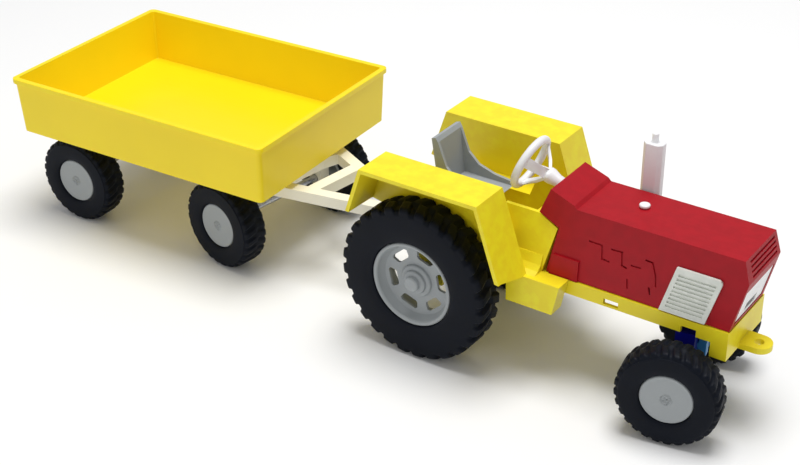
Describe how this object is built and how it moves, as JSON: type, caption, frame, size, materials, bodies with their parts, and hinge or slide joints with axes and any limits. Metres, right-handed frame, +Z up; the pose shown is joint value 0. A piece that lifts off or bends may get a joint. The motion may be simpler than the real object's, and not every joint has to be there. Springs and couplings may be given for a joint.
{
  "type": "toy tractor",
  "caption": "Plastic toy tractor with bucket seat, mudguards and steering wheel, towing a tray trailer that steers on a turntable.",
  "frame": {"origin": "on the ground under the middle of the whole train's box", "axes": "+X forward along the tractor, +Y to the tractor's left, +Z up"},
  "size_m": [0.4362, 0.1286, 0.12],
  "materials": {
    "yellow_plastic": "satin moulded",
    "warm_yellow_plastic": "satin moulded",
    "red_plastic": "satin moulded",
    "white_plastic": "satin moulded",
    "ivory_plastic": "fine matt",
    "cream_plastic": "satin moulded",
    "grey_plastic": "satin moulded",
    "navy_plastic": "satin moulded",
    "light_blue_plastic": "satin moulded",
    "tyre_rubber": "soft moulded, slightly shiny",
    "axle_steel": "drawn wire"
  },
  "bodies": {
    "tractor": {"chassis": "yellow_plastic", "cab_body": "yellow_plastic", "hood": "red_plastic", "front_grille": "white_plastic", "side_grille_left": "ivory_plastic", "side_grille_right": "ivory_plastic", "exhaust_stack": "white_plastic", "radiator_cap": "white_plastic", "seat": "grey_plastic", "hitch_pin": "yellow_plastic", "kingpin": "light_blue_plastic"},
    "steering": {"steering_wheel": "white_plastic"},
    "rear_wheels": {"rear_axle": "axle_steel", "rear_rim_left": "grey_plastic", "rear_tyre_left": "tyre_rubber", "rear_rim_right": "grey_plastic", "rear_tyre_right": "tyre_rubber"},
    "front_axle_frame": {"front_axle_carrier": "navy_plastic", "axle_clip_left": "light_blue_plastic", "axle_clip_right": "light_blue_plastic"},
    "front_wheels": {"front_axle": "axle_steel", "front_rim_left": "grey_plastic", "front_tyre_left": "tyre_rubber", "front_rim_right": "grey_plastic", "front_tyre_right": "tyre_rubber"},
    "drawbar_frame": {"drawbar": "cream_plastic"},
    "trailer_front_wheels": {"trailer_front_axle": "axle_steel", "trailer_front_rim_left": "grey_plastic", "trailer_front_tyre_left": "tyre_rubber", "trailer_front_rim_right": "grey_plastic", "trailer_front_tyre_right": "tyre_rubber"},
    "trailer_body": {"trailer_tub": "warm_yellow_plastic", "turntable_pin": "cream_plastic", "trailer_rear_frame": "cream_plastic"},
    "trailer_rear_wheels": {"trailer_rear_axle": "axle_steel", "trailer_rear_rim_left": "grey_plastic", "trailer_rear_tyre_left": "tyre_rubber", "trailer_rear_rim_right": "grey_plastic", "trailer_rear_tyre_right": "tyre_rubber"}
  },
  "joints": [
    {"name": "steering_turn", "type": "hinge", "parent": "tractor", "child": "steering", "pos_m": [0.0898, -0.01217, 0.0995], "axis": [-0.9367, 0, 0.3502], "continuous": true},
    {"name": "rear_wheels_spin", "type": "hinge", "parent": "tractor", "child": "rear_wheels", "pos_m": [0.0521, -0.01217, 0.0414], "axis": [0, 1, 0], "continuous": true},
    {"name": "front_axle_steer", "type": "hinge", "parent": "tractor", "child": "front_axle_frame", "pos_m": [0.1794, -0.01217, 0.045], "axis": [0, 0, 1], "range_deg": [-28, 8]},
    {"name": "front_wheels_spin", "type": "hinge", "parent": "front_axle_frame", "child": "front_wheels", "pos_m": [0.1794, -0.01217, 0.0248], "axis": [-0.1771, 0.9842, 0], "continuous": true},
    {"name": "hitch_turn", "type": "hinge", "parent": "tractor", "child": "drawbar_frame", "pos_m": [0.0281, -0.01217, 0.047], "axis": [0, 0, 1], "range_deg": [-22, 38]},
    {"name": "trailer_front_wheels_spin", "type": "hinge", "parent": "drawbar_frame", "child": "trailer_front_wheels", "pos_m": [-0.0773, 0.00243, 0.0248], "axis": [0.1373, 0.9905, 0], "continuous": true},
    {"name": "turntable_turn", "type": "hinge", "parent": "drawbar_frame", "child": "trailer_body", "pos_m": [-0.0773, 0.00243, 0.0525], "axis": [0, 0, 1], "range_deg": [-55, 34]},
    {"name": "trailer_rear_wheels_spin", "type": "hinge", "parent": "trailer_body", "child": "trailer_rear_wheels", "pos_m": [-0.18758, -0.00269, 0.0248], "axis": [-0.0464, 0.9989, 0], "continuous": true}
  ]
}
